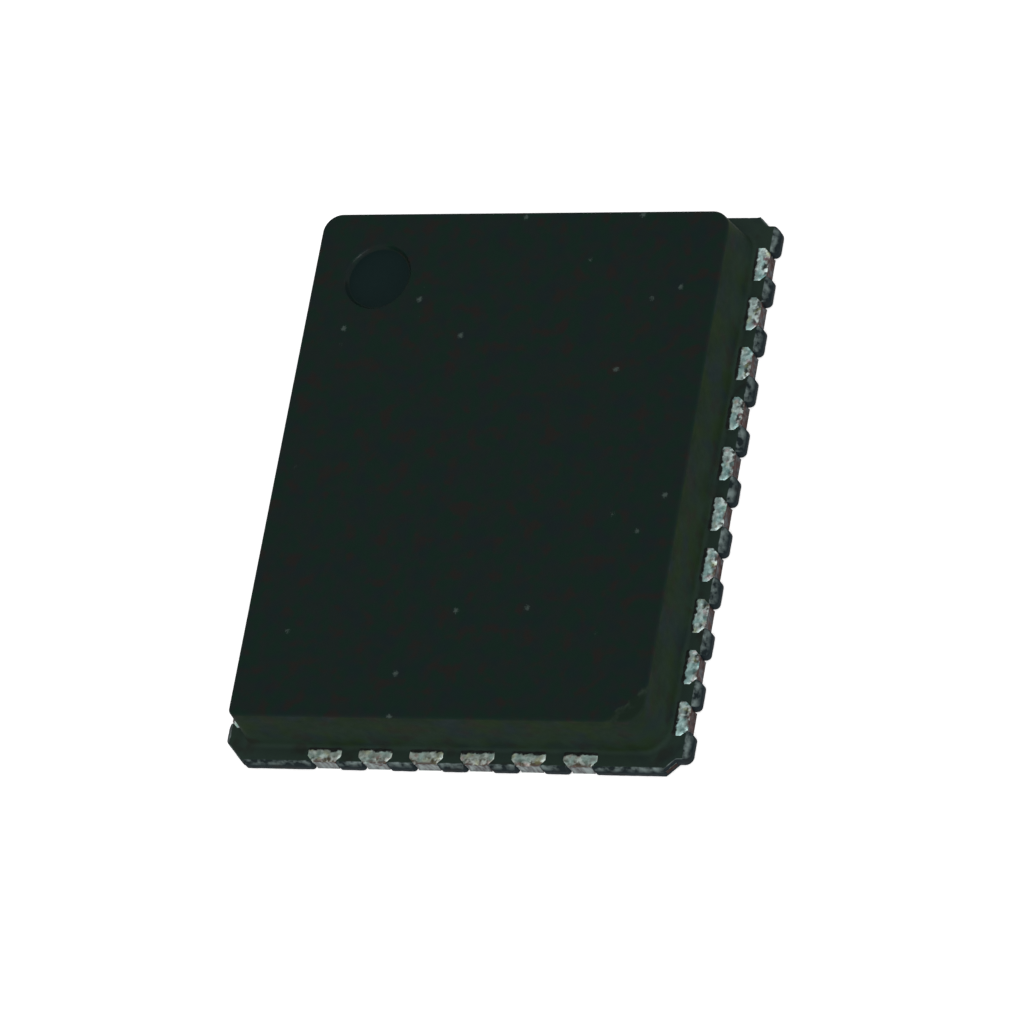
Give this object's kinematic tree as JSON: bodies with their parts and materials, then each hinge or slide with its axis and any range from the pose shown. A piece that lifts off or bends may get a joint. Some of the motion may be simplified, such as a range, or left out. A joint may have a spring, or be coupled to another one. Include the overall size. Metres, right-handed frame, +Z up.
{
  "type": "radio frequency transceiver chip",
  "caption": "Flat rectangular leadless radio transceiver chip: dark moulded resin cap on a notched flange with plated leads, a pin-one dimple and a keyed solder pad below.",
  "frame": {"origin": "middle of the solder plane, below the middle of the exposed pad", "axes": "+Z up out of the top face, +Y along the long sides; the pin-one dimple lies towards -X and +Y"},
  "size_m": [0.006, 0.0072, 0.0009],
  "materials": {
    "mould_resin": "satin",
    "plated_copper": "satin",
    "die_adhesive": "matte",
    "silicon": "polished",
    "gold_wire": "polished"
  },
  "bodies": {
    "root": {"mould_body": "mould_resin", "die_paddle": "plated_copper", "die_attach": "die_adhesive", "silicon_die": "silicon", "bond_wires_left": "gold_wire", "bond_wires_front": "gold_wire", "bond_wires_right": "gold_wire", "bond_wires_rear": "gold_wire", "lead_01": "plated_copper", "lead_02": "plated_copper", "lead_03": "plated_copper", "lead_04": "plated_copper", "lead_05": "plated_copper", "lead_06": "plated_copper", "lead_07": "plated_copper", "lead_08": "plated_copper", "lead_09": "plated_copper", "lead_10": "plated_copper", "lead_11": "plated_copper", "lead_12": "plated_copper", "lead_13": "plated_copper", "lead_14": "plated_copper", "lead_15": "plated_copper", "lead_16": "plated_copper", "lead_17": "plated_copper", "lead_18": "plated_copper", "lead_19": "plated_copper", "lead_20": "plated_copper", "lead_21": "plated_copper", "lead_22": "plated_copper", "lead_23": "plated_copper", "lead_24": "plated_copper", "lead_25": "plated_copper", "lead_26": "plated_copper", "lead_27": "plated_copper", "lead_28": "plated_copper", "lead_29": "plated_copper", "lead_30": "plated_copper", "lead_31": "plated_copper", "lead_32": "plated_copper"}
  },
  "joints": []
}
